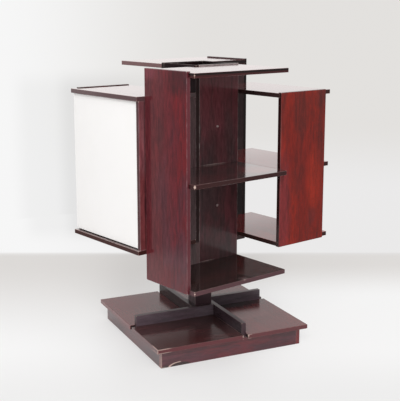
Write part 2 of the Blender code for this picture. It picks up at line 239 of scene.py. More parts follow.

# Painted highlights and wear of the veneer: the pale lines along the arrises and the pale corners, spots and
# stretches are painted highlights; the torn places at the foot, with their pale lips, are wear
wear = {
    "wornColour": (0.60, 0.44, 0.38), "tornColour": (0.024, 0.015, 0.014),
    "rub": (34.0, 4.0, 0.65),           # noise that breaks up the lines
    "chip": (300.0, 3.0, 0.60),         # noise that roughens the outlines
    "lineEnd": 0.3, "rubRise": (0.42, 0.66), "rubShare": 0.7, "rubLeast": 0.3,
    "cornerRise": (0.0050, 0.0012), "cornerEdge": (0.0020, 0.0006), "cornerChip": 0.006,
    "spotEnd": 0.4, "spotChip": 1.2,    # shares of a spot's reach
    "runEnd": 0.6, "runEdge": 0.4, "runChip": 0.8,
    "tornRise": (1.0, 0.90), "tornShare": 0.85, "tornChip": 0.10,
    "lipPlace": 1.06, "lipRise": (0.16, 0.06), "lipSide": (0.10, -0.05),
}

# Colours of each veneer: dark streaks, ground, lighter bands, clouds of the figure, and the narrow edges.
# On the base, slot is the colour of the edges in its slots, dark as a painted shade.
# figure is how strong it is, gloss the roughness of faces and edges, bend the lacquer's index,
# coat and rim the clear coat on faces and edges; the last three are the strength, width and colour of the
# painted highlight along the arrises, and the strength also sets the pale corners, painted highlights too
woods = {
    "purple": {"figure": 0.70, "dark": (0.040, 0.007, 0.013), "ground": (0.110, 0.009, 0.015),
               "light": (0.146, 0.005, 0.010), "cloud": (0.082, 0.018, 0.028), "edge": (0.100, 0.018, 0.025),
               "gloss": 0.15, "edgeGloss": 0.20, "bend": 1.48, "coat": 0.0, "rim": 0.0,
               "wear": 0.60, "line": 0.0034, "lineColour": (0.24, 0.14, 0.15)},
    "red": {"figure": 0.62, "dark": (0.056, 0.006, 0.005), "ground": (0.172, 0.008, 0.003),
            "light": (0.240, 0.011, 0.002), "cloud": (0.122, 0.009, 0.006), "edge": (0.022, 0.006, 0.006),
            "gloss": 0.15, "edgeGloss": 0.20, "bend": 1.48, "coat": 0.0, "rim": 0.0,
            "wear": 0.45, "line": 0.0030, "lineColour": (0.20, 0.07, 0.07)},
    "core": {"figure": 0.60, "dark": (0.026, 0.020, 0.020), "ground": (0.090, 0.037, 0.040),
             "light": (0.122, 0.037, 0.044), "cloud": (0.060, 0.037, 0.039), "edge": (0.014, 0.006, 0.006),
             "gloss": 0.17, "edgeGloss": 0.75, "bend": 1.40, "coat": 0.0, "rim": 0.0,
             "wear": 0.55, "line": 0.0036, "lineColour": (0.17, 0.14, 0.13)},
    "board": {"figure": 0.50, "dark": (0.018, 0.008, 0.008), "ground": (0.050, 0.024, 0.024),
              "light": (0.066, 0.026, 0.026), "cloud": (0.040, 0.024, 0.024), "edge": (0.036, 0.008, 0.008),
              "gloss": 0.10, "edgeGloss": 0.15, "bend": 1.36, "coat": 0.72, "rim": 0.0,
              "wear": 0.40, "line": 0.0018, "lineColour": (0.30, 0.15, 0.14)},
    "base": {"figure": 0.22, "dark": (0.040, 0.016, 0.017), "ground": (0.132, 0.027, 0.029),
             "light": (0.150, 0.029, 0.031), "cloud": (0.117, 0.028, 0.031), "edge": (0.100, 0.013, 0.018),
             "slot": (0.026, 0.014, 0.015),
             "gloss": 0.20, "edgeGloss": 0.22, "bend": 1.41, "coat": 0.0, "rim": 0.70,
             "wear": 0.45, "line": 0.0022, "lineColour": (0.30, 0.16, 0.15)},
    "rib": {"figure": 0.45, "dark": (0.020, 0.012, 0.016), "ground": (0.046, 0.028, 0.034),
            "light": (0.058, 0.035, 0.043), "cloud": (0.040, 0.029, 0.034), "edge": (0.050, 0.026, 0.032),
            "gloss": 0.22, "edgeGloss": 0.30, "bend": 1.37, "coat": 0.0, "rim": 0.0,
            "wear": 0.40, "line": 0.0020, "lineColour": (0.22, 0.15, 0.15)},
    "plinth": {"figure": 0.62, "dark": (0.026, 0.012, 0.018), "ground": (0.098, 0.015, 0.022),
               "light": (0.130, 0.015, 0.021), "cloud": (0.066, 0.022, 0.032), "edge": (0.150, 0.010, 0.014),
               "gloss": 0.18, "edgeGloss": 0.18, "bend": 1.46, "coat": 0.7, "rim": 0.7,
               "wear": 0.50, "line": 0.0024, "lineColour": (0.30, 0.16, 0.15)},
}

# What a piece may have besides: fades go over to another colour (axis, begin, full, colour, share),
# edgeFades do so on the narrow edges alone, patches round a place (middle, reaches, colour, share).
# a side may be darkened as a painted shade (axis, begin, full, how dark, and where it ends if it does).
# spots are pale places, painted highlights (place, reach, strength), runs are pale stretches of the arrises,
# painted highlights as well (and their width), tears are places at the foot where the veneer is torn away
# (middle, half width, height, pale lip)
noMarks = {"fades": (), "edgeFades": (), "patches": (), "dim": None, "spots": (), "runs": (), "tears": ()}


# A point of a piece in the piece's square frame, and its distances to the pairs of faces
def boxPlace(maker, name):
    low, high = squareBox(name)
    point = maker.node("ShaderNodeTexCoord")["Object"]
    if name in baseNodes:
        point = maker.node("ShaderNodeMapping", None, {"Vector": point, "Rotation": (0.0, 0.0, baseTurn)})[0]
    spread = maker.split(point)
    half, middle = (high - low) / 2, (high + low) / 2
    inset = [half[axis] - abs(spread[axis] - middle[axis]) for axis in range(3)]
    return point, spread, inset


class Rosewood:  # the finish of one veneered piece while it is built
    def __init__(self, name, wood, grain, thin, changes):
        self.name, self.grain, self.thin = name, grain, thin
        self.look = {**noMarks, **woods[wood], **changes}
        self.material, self.maker = startFinish("rosewood_" + name)
        self.point, self.spread, self.inset = boxPlace(self.maker, name)
        self.narrow = self.inset[thin].rise(*veneer["edgeRise"])
        self.drawFigure()

    def layer(self, kind, first, second):
        across, drawn, *texture = veneer[kind]
        place = self.maker.join(first, second, self.spread[self.grain] * drawn)
        return self.maker.noise(place, across, *texture)

    def drawFigure(self):  # the figure wanders, so its sideways places shift a little along the grain
        sides = [self.spread[axis] for axis in range(3) if axis != self.grain]
        slow, quick = self.layer("slow", *sides) - 0.5, self.layer("quick", *sides) - 0.5
        drift = slow * veneer["wander"] + quick * veneer["ripple"]
        shifted = [side + drift for side in sides]
        self.bands, self.clouds = self.layer("bands", *shifted), self.layer("clouds", *shifted)
        self.flames, self.streaks = self.layer("flames", *shifted), self.layer("streaks", *shifted)
        self.clumps, self.fine = self.layer("clumps", *shifted), self.layer("fine", *shifted)
        self.pores = self.layer("pores", *sides)

    def fade(self, colour, fades):
        for axis, begin, full, other, share in fades:
            colour = self.maker.blend(self.spread[axis].rise(begin, full) * share, colour, other)
        return colour

    def faceColour(self):
        maker, look = self.maker, self.look
        colour = maker.blend(self.bands.rise(*veneer["bandRise"]), look["ground"], look["light"])
        cloudy = self.clouds.rise(*veneer["cloudRise"]) * veneer["cloudShare"]
        colour = self.fade(maker.blend(cloudy, colour, look["cloud"]), look["fades"])
        for middle, reach, other, share in look["patches"]:
            offset = maker.vector("DIVIDE", maker.vector("SUBTRACT", self.point, middle)[0], reach)[0]
            away = maker.vector("LENGTH", offset)["Value"] + (self.clouds - 0.5) * veneer["patchClouds"]
            away = away + (self.flames - 0.5) * veneer["patchFlames"]
            colour = maker.blend(away.rise(*veneer["patchRise"]) * share, colour, other)
        flaming = (self.flames.rise(*veneer["flameRise"]) - 0.5) * (look["figure"] * veneer["flameShare"])
        colour = maker.tint(colour, flaming + 1.0)
        crowded = self.clumps.rise(*veneer["clumpRise"]) * veneer["clumpShare"] + veneer["clumpLeast"]
        streaky = self.streaks.rise(*veneer["streakRise"]) * crowded * look["figure"]
        colour = maker.blend(streaky, colour, look["dark"])
        colour = maker.tint(colour, veneer["fineLeast"] + self.fine * veneer["fineShare"])
        porous = self.pores.rise(*veneer["poreRise"]) * veneer["poreShare"]
        colour = maker.blend(porous, colour, look["dark"])
        # A darker side is a painted shade
        if look["dim"]:
            axis, begin, full, shadeStrength, *ends = look["dim"]
            shade = self.spread[axis].rise(begin, full)
            if ends:
                shade = shade * self.spread[axis].rise(*ends)
            colour = maker.tint(colour, 1.0 - shade * shadeStrength)
        return colour

    def edgeColour(self):  # the narrow edges are faced with their own strips
        maker, look, spread = self.maker, self.look, self.spread
        strip = look["edge"]
        if "lowEdge" in look:  # the lower half in its own colour
            low, high = (box[self.thin] for box in squareBox(self.name))
            begin, full = (low + (high - low) * share for share in veneer["lowEdgeRise"])
            strip = maker.blend(spread[self.thin].rise(begin, full), strip, look["lowEdge"])
        if "slot" in look:  # edges that face a rib, painted dark: a painted shade in the slots
            beside, out = abs(spread[0]).least(abs(spread[1])), abs(spread[0]).most(abs(spread[1]))
            facing = beside.rise(*veneer["slotBeside"]) * out.rise(*veneer["slotInside"])
            strip = maker.blend(facing, strip, look["slot"])
        if "end" in look:  # the ends in their own colour
            full, begin = veneer["edgeRise"]
            strip = maker.blend(self.inset[self.grain].rise(begin, full), strip, look["end"])
        strip = self.fade(strip, look["edgeFades"])
        return maker.tint(strip, veneer["edgeLeast"] + self.bands * veneer["edgeBands"]
                          + self.fine * veneer["edgeFine"])

    def paintWearAndSheen(self, colour):  # gives the colour with the painted highlights along the arrises and on pale corners, spots and stretches, and with the torn places; also the masks of the lines and of the pale marks
        maker, look, inset = self.maker, self.look, self.inset
        pairs = [inset[0].most(inset[1]), inset[1].most(inset[2]), inset[0].most(inset[2])]
        nearEdge, nearCorner = pairs[0].least(pairs[1]).least(pairs[2]), pairs[0].most(inset[2])
        rub, chip = maker.noise(self.point, *wear["rub"]), maker.noise(self.point, *wear["chip"]) - 0.5
        # The pale line along the arrises is a painted highlight, broken up by noise
        lineShown = rub.rise(*wear["rubRise"]) * wear["rubShare"] + wear["rubLeast"]
        arris = nearEdge.rise(look["line"], look["line"] * wear["lineEnd"]) * lineShown * look["wear"]
        colour = maker.blend(arris, colour, look["lineColour"])
        # Pale corners, spots and stretches are painted highlights; the pale lips of the torn places are wear
        paleMarks = (nearCorner + chip * wear["cornerChip"]).rise(*wear["cornerRise"])
        paleMarks = paleMarks * nearEdge.rise(*wear["cornerEdge"]) * look["wear"]
        for place, reach, amount in look["spots"]:
            away = maker.vector("DISTANCE", self.point, place)["Value"] + chip * (reach * wear["spotChip"])
            paleMarks = paleMarks.most(away.rise(reach, reach * wear["spotEnd"]) * amount)
        for place, reach, amount, wide in look["runs"]:
            away = maker.vector("DISTANCE", self.point, place)["Value"]
            beside = nearEdge + chip * (wide * wear["runChip"])
            along = away.rise(reach, reach * wear["runEnd"])
            paleMarks = paleMarks.most(along * beside.rise(wide, wide * wear["runEdge"]) * amount)
        for middle, wide, tall, lip in look["tears"]:
            across, above = (self.spread[self.grain] - middle) / wide, self.spread[2] / tall
            ring = (across * across + above * above).power(0.5) + chip * wear["tornChip"]
            colour = maker.blend(ring.rise(*wear["tornRise"]) * wear["tornShare"], colour, wear["tornColour"])
            pale = abs(ring - wear["lipPlace"]).rise(*wear["lipRise"]) * across.rise(*wear["lipSide"])
            paleMarks = paleMarks.most(pale * lip)
        return maker.blend(paleMarks.least(1.0), colour, wear["wornColour"]), arris, paleMarks

    def coat(self):
        look = self.look
        weight = look["coat"] + self.narrow * (look["rim"] - look["coat"])
        if "coatFade" in look:  # a board whose lacquer is duller towards one side
            axis, begin, full, share = look["coatFade"]
            weight = weight * (1.0 - self.spread[axis].rise(begin, full) * share)
        return weight

    def close(self):
        look = self.look
        colour = self.maker.blend(self.narrow, self.faceColour(), self.edgeColour())
        colour, arris, paleMarks = self.paintWearAndSheen(colour)
        gloss = look["gloss"] + self.narrow * (look["edgeGloss"] - look["gloss"])
        gloss = gloss + (self.bands - 0.5) * veneer["glossBands"] + (self.fine - 0.5) * veneer["glossFine"]
        gloss = gloss + arris * veneer["glossArris"] + paleMarks * veneer["glossWorn"]
        relief = self.maker.bump(self.fine + self.pores * veneer["reliefPores"], *veneer["relief"])
        sockets = {"Base Color": colour, "Roughness": gloss, "Normal": relief, "IOR": look["bend"]}
        if look["coat"] or look["rim"]:
            sockets["Coat Weight"] = self.coat()
            sockets["Coat Roughness"] = look["gloss"]
        endFinish(self.maker, sockets)


# grain and thin are the directions of the grain and of the thickness: 0 is X, 1 is Y, 2 is Z
def rosewood(name, wood, grain, thin, **changes):
    finish = Rosewood(name, wood, grain, thin, changes)
    finish.close()
    dress(nodes[name], finish.material)


def tones(ground, light, cloud):  # the three broad colours of a veneer
    return {"ground": ground, "light": light, "cloud": cloud}


# Boards of the bays whose faces or edges are redder, paler or darker than the rest, or that carry more
# painted highlights
redFace = tones((0.130, 0.022, 0.022), (0.155, 0.024, 0.024), (0.110, 0.026, 0.026))
redderFace = tones((0.250, 0.020, 0.022), (0.290, 0.022, 0.024), (0.215, 0.024, 0.026))
boardChanges = {
    # The spots on the first bay's boards are painted highlights at their front corners and edge
    "bay1_top_board": {
        **redFace, "edge": (0.010, 0.004, 0.004), "lowEdge": (0.044, 0.010, 0.011),
        "spots": [((-0.369, -0.417, 1.190), 0.0045, 0.7)]},
    "bay1_middle_shelf": {
        **tones((0.062, 0.030, 0.030), (0.080, 0.032, 0.032), (0.052, 0.030, 0.030)),
        "edge": (0.036, 0.012, 0.012), "spots": [((-0.368, -0.417, 0.773), 0.0080, 1.0)],
        "patches": [((0.045, -0.315, 0.781), (0.11, 0.11, 0.010), (0.250, 0.020, 0.022), 0.9)]},
    "bay1_bottom_shelf": {
        **tones((0.036, 0.021, 0.020), (0.046, 0.023, 0.021), (0.030, 0.021, 0.019)),
        "edge": (0.080, 0.030, 0.036), "coat": 0.36,
        "spots": [((-0.369, -0.417, 0.354), 0.0050, 0.8), ((-0.110, -0.417, 0.362), 0.0060, 0.2)],
        "patches": [((-0.105, -0.407, 0.363), (0.028, 0.032, 0.006), (0.150, 0.090, 0.090), 0.8)]},
    "bay2_top_board": {**redFace, "edge": (0.046, 0.024, 0.023), "end": (0.034, 0.010, 0.009)},
    "bay2_middle_shelf": {
        **redderFace, "edge": (0.040, 0.014, 0.014), "end": (0.034, 0.010, 0.009),
        "coatFade": (1, 0.10, -0.20, 0.25)},
    "bay2_bottom_shelf": {
        **redderFace, "edge": (0.036, 0.017, 0.015), "end": (0.034, 0.010, 0.009),
        "coatFade": (1, 0.10, -0.25, 0.55)},
    "bay3_top_board": {**redFace, "edge": (0.014, 0.006, 0.006), "end": (0.205, 0.112, 0.114)},
    "bay4_top_board": {
        **redFace, "edge": (0.088, 0.044, 0.048), "rim": 0.85, "coat": 1.0, "edgeGloss": 0.12,
        "edgeFades": [(1, 0.00, 0.32, (0.132, 0.084, 0.088), 0.9)]},
    # The pale strip along the front of the closed bay's bottom shelf is a painted reflection of the white
    # door, and its arris lines, painted highlights, are stronger
    "bay4_bottom_shelf": {
        "edge": (0.046, 0.014, 0.012), "wear": 0.8,
        "patches": [((-0.413, 0.126, 0.469), (0.014, 0.80, 0.008), (0.40, 0.33, 0.32), 1.0)]},
}

# End panels of the bays: where the figure of the outer face turns greyer, darker or redder; the second has a
# painted highlight along one edge, and the third painted shade on its edges and inner face
panelChanges = {
    1: {"light": (0.132, 0.006, 0.010), "bend": 1.45,
        "fades": [(1, -0.330, -0.150, (0.112, 0.027, 0.031), 0.65)],
        "patches": [((-0.378, -0.150, 1.190), (0.05, 0.05, 0.04), (0.250, 0.050, 0.070), 0.5),
                    ((-0.378, -0.330, 1.170), (0.05, 0.09, 0.08), (0.046, 0.006, 0.009), 0.8),
                    ((-0.378, -0.216, 0.955), (0.05, 0.035, 0.09), (0.036, 0.018, 0.021), 0.35)]},
    # The first patch of the second panel, a thin pale strip down its edge, is a painted highlight
    2: {"patches": [((0.117, -0.378, 0.800), (0.006, 0.02, 0.40), (0.260, 0.100, 0.090), 0.5),
                    ((0.125, -0.378, 0.620), (0.075, 0.05, 0.32), (0.148, 0.023, 0.032), 0.6),
                    ((0.235, -0.378, 1.000), (0.055, 0.05, 0.14), (0.085, 0.011, 0.008), 0.6),
                    ((0.360, -0.378, 1.060), (0.055, 0.05, 0.07), (0.085, 0.010, 0.008), 0.75),
                    ((0.320, -0.378, 0.720), (0.055, 0.05, 0.18), (0.290, 0.016, 0.004), 0.7),
                    ((0.310, -0.378, 0.555), (0.035, 0.05, 0.05), (0.100, 0.014, 0.014), 0.45)]},
    # The third panel's nearly black edges and the dark patch low on its inner face are painted shade
    3: {"edge": (0.012, 0.006, 0.006), "bend": 1.30, "wear": 0.20, "dim": None,
        "fades": [(0, 0.371, 0.367, (0.072, 0.034, 0.037), 1.0)],
        "patches": [((0.360, 0.250, 0.520), (0.012, 0.40, 0.18), (0.016, 0.009, 0.009), 0.85)]},
}

# Core panels: the front one is redder and lighter at the top, a painted light, and darker at the foot, a
# painted shade;
# it has a painted highlight along its upper edge and its arrises, and pale lines where the shelves meet it.
# The one at the closed bay is painted dark as shade, keeping a plainer tone below that bay
coreChanges = {
    1: {"fades": [(2, 0.92, 1.12, (0.170, 0.038, 0.046), 0.60), (2, 0.50, 0.38, (0.040, 0.018, 0.019), 0.60),
                  (2, 1.1980, 1.1990, (0.34, 0.29, 0.29), 0.80)],
        "patches": [((0.010, -0.117, 0.860), (0.130, 0.050, 0.090), (0.044, 0.020, 0.022), 0.40),
                    ((-0.040, -0.117, 0.650), (0.130, 0.050, 0.140), (0.120, 0.064, 0.068), 0.40),
                    ((-0.030, -0.117, 0.7835), (0.090, 0.020, 0.0030), (0.24, 0.18, 0.17), 0.8),
                    ((-0.060, -0.117, 0.3655), (0.060, 0.020, 0.0030), (0.24, 0.18, 0.17), 0.6)],
        "edge": (0.090, 0.066, 0.070), "edgeGloss": 0.40, "wear": 1.0, "lineColour": (0.28, 0.23, 0.22)},
    4: {**tones((0.015, 0.006, 0.007), (0.020, 0.006, 0.008), (0.012, 0.006, 0.007)),
        "fades": [(2, 0.462, 0.448, (0.115, 0.075, 0.075), 1.0)],
        "edgeFades": [(2, 0.462, 0.448, (0.130, 0.082, 0.083), 1.0)],
        "edge": (0.034, 0.019, 0.019), "bend": 1.15},
}

# Side panel of the closed bay: greyer towards the core, redder below its middle, darker as a painted shade
# where it stands inside the first bay, and with a stronger painted highlight along its arrises
sidePanelChanges = {
    **tones((0.205, 0.066, 0.074), (0.228, 0.061, 0.070), (0.182, 0.078, 0.088)),
    "edge": (0.072, 0.026, 0.030), "lineColour": (0.27, 0.17, 0.18), "wear": 0.7,
    "dim": (0, -0.386, -0.379, 0.60, -0.20, -0.26),
    "fades": [(2, 0.825, 0.750, (0.155, 0.034, 0.037), 0.95)],
    "patches": [((-0.150, -0.117, 0.750), (0.20, 0.05, 1.00), (0.078, 0.040, 0.042), 1.0)],
}
capChanges = tones((0.030, 0.012, 0.012), (0.036, 0.013, 0.013), (0.024, 0.012, 0.012))
innerShadeLook = {"depth": 0.004, "panelDark": 0.80, "coreDark": 0.90}  # the sides that face inwards, into the bays and the core, are darker: a painted shade


def paintInnerShade(name, axis, shadeStrength):  # paints shade on the half of a panel that is nearer to the turning axis
    low, high = squareBox(name)
    middle = (low[axis] + high[axis]) / 2
    return axis, middle, middle - math.copysign(innerShadeLook["depth"], middle), shadeStrength


def dressTower():
    for bay in (1, 2, 3, 4):
        lengthwise, depthwise = (0, 1) if bay in (1, 3) else (1, 0)
        for board in ("top_board", "middle_shelf", "bottom_shelf"):
            name = "bay%d_%s" % (bay, board)
            rosewood(name, "board", lengthwise, 2, **boardChanges.get(name, {}))
        name = "bay%d_end_panel" % bay
        changes = {"dim": paintInnerShade(name, lengthwise, innerShadeLook["panelDark"]), **panelChanges.get(bay, {})}
        rosewood(name, "purple" if bay in (1, 3) else "red", 2, lengthwise, **changes)
        name = "core_panel_%d" % bay
        changes = {"dim": paintInnerShade(name, depthwise, innerShadeLook["coreDark"]), **coreChanges.get(bay, {})}
        rosewood(name, "core", 2, depthwise, **changes)
    rosewood("bay4_side_panel", "purple", 2, 1, **sidePanelChanges)
    rosewood("bay4_back_panel", "board", 2, 0)
    rosewood("core_cap", "core", 0, 2, **capChanges)
    rosewood("door_panel", "board", 2, 0)


dressTower()
print("tower dressed")

# Boards, ribs and rails of the base that differ from the rest, with places in the base's own square frame
# The front and back ribs are paler than the left one: lit copies of the rib's wood, a painted light
paintedLitRib = {
    **tones((0.112, 0.076, 0.092), (0.130, 0.084, 0.104), (0.098, 0.076, 0.088)),
    "dark": (0.050, 0.034, 0.042)}
baseChanges = {
    # The front board's darker tones are a painted shade under the first bay; its spot and stretches are
    # painted highlights
    "base_top_board_front": {
        **tones((0.074, 0.032, 0.033), (0.087, 0.034, 0.035), (0.064, 0.033, 0.034)), "bend": 1.36,
        "spots": [((0.038, -0.350, 0.086), 0.0060, 0.6)],
        "runs": [((-0.350, -0.350, 0.082), 0.070, 0.55, 0.0040),
                 ((0.039, -0.220, 0.091), 0.130, 0.30, 0.0030)],
        "patches": [((-0.240, -0.290, 0.091), (0.18, 0.12, 0.010), (0.060, 0.015, 0.015), 0.9)]},
    # The right board's grey patch near the tower is a painted reflection of the tower; its spot and stretch
    # by the slot are painted highlights
    "base_top_board_right": {
        **tones((0.150, 0.030, 0.032), (0.168, 0.032, 0.034), (0.135, 0.031, 0.034)),
        "spots": [((0.061, -0.350, 0.086), 0.0060, 0.8)],
        "runs": [((0.061, -0.350, 0.084), 0.022, 0.35, 0.0034)],
        "patches": [((0.190, -0.125, 0.091), (0.130, 0.080, 0.010), (0.200, 0.056, 0.058), 0.9),
                    ((0.170, 0.035, 0.091), (0.260, 0.090, 0.010), (0.056, 0.048, 0.049), 1.0)]},
    "base_top_board_left": {
        "edge": (0.150, 0.014, 0.019),
        "patches": [((-0.060, -0.030, 0.091), (0.110, 0.110, 0.010), (0.060, 0.026, 0.027), 0.7),
                    ((-0.240, 0.245, 0.091), (0.16, 0.16, 0.010), (0.132, 0.008, 0.013), 0.8)]},
    "plinth_rail_front": {
        "fades": [(0, 0.05, 0.28, (0.062, 0.012, 0.018), 0.35),
                  (0, -0.05, -0.28, (0.150, 0.040, 0.050), 0.35)],
        "runs": [((-0.326, -0.326, 0.036), 0.050, 0.40, 0.0060)],
        "tears": [(-0.240, 0.046, 0.015, 0.9), (-0.306, 0.020, 0.010, 0.0)]},
    # The front rib grows paler towards the post, a painted light over the post's shadow
    "base_rib_front": {**paintedLitRib, "fades": [(0, -0.10, 0.01, (0.170, 0.130, 0.152), 0.80)]},
    "base_rib_left": {
        **tones((0.046, 0.027, 0.028), (0.058, 0.033, 0.034), (0.040, 0.028, 0.028)), "bend": 1.30},
    "base_rib_back": paintedLitRib,
    "post": tones((0.090, 0.062, 0.067), (0.102, 0.068, 0.074), (0.080, 0.062, 0.066)),
}


def dressBase():
    for side in ("front", "right", "back", "left"):
        lengthwise, depthwise = (0, 1) if side in ("front", "back") else (1, 0)
        for piece, wood, thin in (("base_top_board_", "base", 2), ("base_rib_", "rib", depthwise),
                                  ("plinth_rail_", "plinth", depthwise)):
            name = piece + side
            rosewood(name, wood, lengthwise, thin, **baseChanges.get(name, {}))
    rosewood("post", "rib", 2, 0, **baseChanges["post"])


dressBase()
print("base dressed")

# Pieces that are not veneered have two colours, with darkRise where the second begins and is full.
# gloss is the roughness and varies how far it goes up and down, relief the strength and depth of the bumps.
# Noises are scale, detail and roughness; those of beech have one scale along the grain and one across it
beechLook = {
    "ground": (0.46, 0.33, 0.21), "dark": (0.36, 0.24, 0.14), "darkRise": (0.35, 0.70),
    "fleckColour": (0.26, 0.16, 0.09), "fleckRise": (0.62, 0.70), "fleckShare": 0.5,
    "lines": (8.0, 160.0, 3.0, 0.6), "flecks": (120.0, 900.0, 1.0),
    "gloss": 0.55, "varies": 0.15, "relief": (0.10, 0.0005),
}


def beechNoise(maker, spread, along, across, *texture):
    x, y, z = spread
    return maker.noise(maker.join(x * along, y * across, z * across), 1.0, *texture)


def plainWood(name):
    look = beechLook
    material, maker = startFinish("beech_" + name)
    spread = boxPlace(maker, name)[1]
    lines, flecks = beechNoise(maker, spread, *look["lines"]), beechNoise(maker, spread, *look["flecks"])
    colour = maker.blend(lines.rise(*look["darkRise"]), look["ground"], look["dark"])
    colour = maker.blend(flecks.rise(*look["fleckRise"]) * look["fleckShare"], colour, look["fleckColour"])
    gloss = look["gloss"] + (lines - 0.5) * look["varies"]
    endFinish(maker, {"Base Color": colour, "Roughness": gloss, "Normal": maker.bump(lines, *look["relief"])})
    dress(nodes[name], material)


laminateLook = {
    "ground": (0.945, 0.932, 0.922), "dark": (0.90, 0.885, 0.865), "darkRise": (0.40, 0.75),
    "cloud": (5.0, 4.0, 0.55), "cloudShare": 0.35, "peel": (900.0, 1.0),
    "rimRise": (0.030, 0.0), "rimShare": 0.10,      # darker towards the door's edges
    "gloss": 0.30, "varies": 0.10, "relief": (0.04, 0.0003),
}


def laminate(name):
    look = laminateLook
    material, maker = startFinish("white_laminate")
    point, spread, inset = boxPlace(maker, name)
    cloud, peel = maker.noise(point, *look["cloud"]), maker.noise(point, *look["peel"])
    rim = inset[1].least(inset[2]).rise(*look["rimRise"]) * look["rimShare"]
    share = (cloud.rise(*look["darkRise"]) * look["cloudShare"] + rim).least(1.0)
    colour = maker.blend(share, look["ground"], look["dark"])
    gloss = look["gloss"] + (cloud - 0.5) * look["varies"]
    endFinish(maker, {"Base Color": colour, "Roughness": gloss, "Normal": maker.bump(peel, *look["relief"])})
    dress(nodes[name], material)


metalLook = {
    "darkRise": (0.42, 0.72), "smudge": (90.0, 4.0, 0.6), "lines": (60.0, 60.0, 2600.0),
    "varies": 0.20, "relief": (0.06, 0.0002),
}
metalKinds = {
    "steel": {"ground": (0.56, 0.56, 0.57), "dark": (0.44, 0.44, 0.45), "gloss": 0.34},
    "nickel": {"ground": (0.62, 0.51, 0.50), "dark": (0.45, 0.36, 0.35), "gloss": 0.38},
}


def metal(kind):
    look = {**metalLook, **metalKinds[kind]}
    material, maker = startFinish(kind)
    point = maker.node("ShaderNodeTexCoord")["Object"]
    smudge = maker.noise(point, *look["smudge"])
    drawn = maker.node("ShaderNodeMapping", None, {"Vector": point, "Scale": look["lines"]})[0]
    relief = maker.bump(maker.noise(drawn), *look["relief"])
    colour = maker.blend(smudge.rise(*look["darkRise"]), look["ground"], look["dark"])
    gloss = look["gloss"] + (smudge - 0.5) * look["varies"]
    endFinish(maker, {"Base Color": colour, "Roughness": gloss, "Normal": relief, "Metallic": 1.0})
    return material


nylonLook = {
    "ground": (0.80, 0.79, 0.73), "dark": (0.72, 0.70, 0.63), "darkRise": (0.35, 0.70),
    "cloud": (60.0, 3.0), "grit": (1500.0, 1.0),
    "gloss": 0.48, "varies": 0.15, "relief": (0.08, 0.0002),
}


def nylon():
    look = nylonLook
    material, maker = startFinish("nylon")
    point = maker.node("ShaderNodeTexCoord")["Object"]
    cloud, grit = maker.noise(point, *look["cloud"]), maker.noise(point, *look["grit"])
    colour = maker.blend(cloud.rise(*look["darkRise"]), look["ground"], look["dark"])
    gloss = look["gloss"] + (cloud - 0.5) * look["varies"]
    endFinish(maker, {"Base Color": colour, "Roughness": gloss, "Normal": maker.bump(grit, *look["relief"])})
    return material


def dressPlain():
    for name in ("base_bearer_front", "base_bearer_back", "base_centre_board", "core_bottom_board",
                 "bearing_board_lower", "bearing_board_upper"):
        plainWood(name)
    laminate("door_face")
    steelFinish, nylonFinish = metal("steel"), nylon()
    for name in ("spindle", "spindle_nut", "bearing_plate", "door_pivot_top", "door_pivot_bottom",
                 "door_strike_plate"):
        dress(nodes[name], steelFinish)
    for name in ("thrust_washer", "spindle_bush_lower", "spindle_bush_upper", "door_bush_top",
                 "door_bush_bottom", "door_catch"):
        dress(nodes[name], nylonFinish)


dressPlain()
print("plain pieces dressed")

# Core bolts: domed heads with a slot, one on each chosen place, made by one node tree
boltHead = {
    "radius": 0.006, "height": 0.003, "slotWide": 0.0012, "slotDeep": 0.0012, "weld": 0.00001,  # metres
    "sides": 28, "rings": 14,
    "crease": 35,                                                                               # degrees
}
boltNodes = ["core_bolt_front_lower", "core_bolt_front_upper", "core_bolt_back_lower", "core_bolt_back_upper"]


